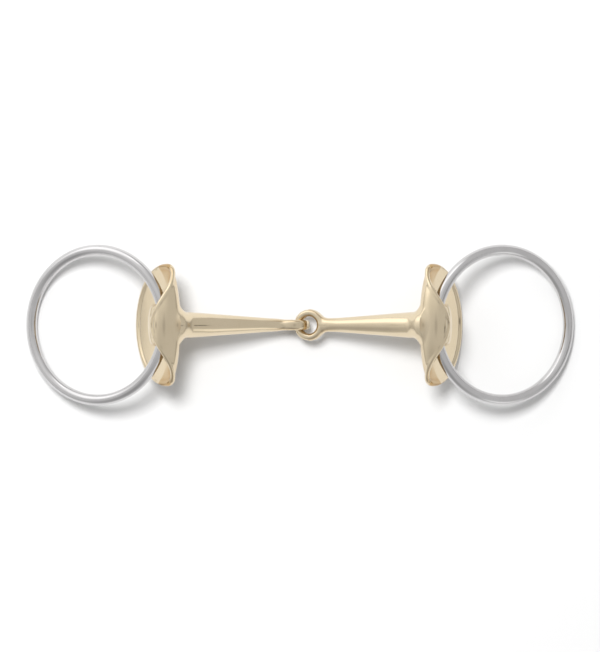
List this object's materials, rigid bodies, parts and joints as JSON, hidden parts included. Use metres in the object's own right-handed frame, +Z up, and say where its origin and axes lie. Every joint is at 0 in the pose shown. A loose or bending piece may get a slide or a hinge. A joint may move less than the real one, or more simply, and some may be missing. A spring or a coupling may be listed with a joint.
{
  "type": "snaffle bit",
  "caption": "Single-jointed loose ring snaffle bit: two tapered arms linked by interlocking eyes, each ending in a dished, hooded wing that a round rein ring swings in.",
  "frame": {"origin": "on the surface that the bit lies on, under the middle of its length and width", "axes": "+X along the bit from the left ring to the right ring, +Y across it along the rings' hub bores, +Z up from the surface"},
  "size_m": [0.2786, 0.081, 0.0423],
  "materials": {
    "mouthpiece_alloy": "polished cast copper alloy, pale champagne gold",
    "ring_steel": "polished stainless steel rod with faint wear marks"
  },
  "bodies": {
    "left_arm": {"left_arm": "mouthpiece_alloy"},
    "right_arm": {"right_arm": "mouthpiece_alloy"},
    "left_ring": {"left_ring": "ring_steel"},
    "right_ring": {"right_ring": "ring_steel"}
  },
  "joints": [
    {"name": "centre_fold", "type": "hinge", "parent": "left_arm", "child": "right_arm", "pos_m": [-0.00279, 0, 0.0078], "axis": [0, -1, 0], "range_deg": [-136, 110]},
    {"name": "left_ring_swing", "type": "hinge", "parent": "left_arm", "child": "left_ring", "pos_m": [-0.06789, 0, 0.03406], "axis": [0, 1, 0], "range_deg": [-32, 51]},
    {"name": "right_ring_swing", "type": "hinge", "parent": "right_arm", "child": "right_ring", "pos_m": [0.06789, 0, 0.03406], "axis": [0, -1, 0], "range_deg": [-32, 51]}
  ]
}
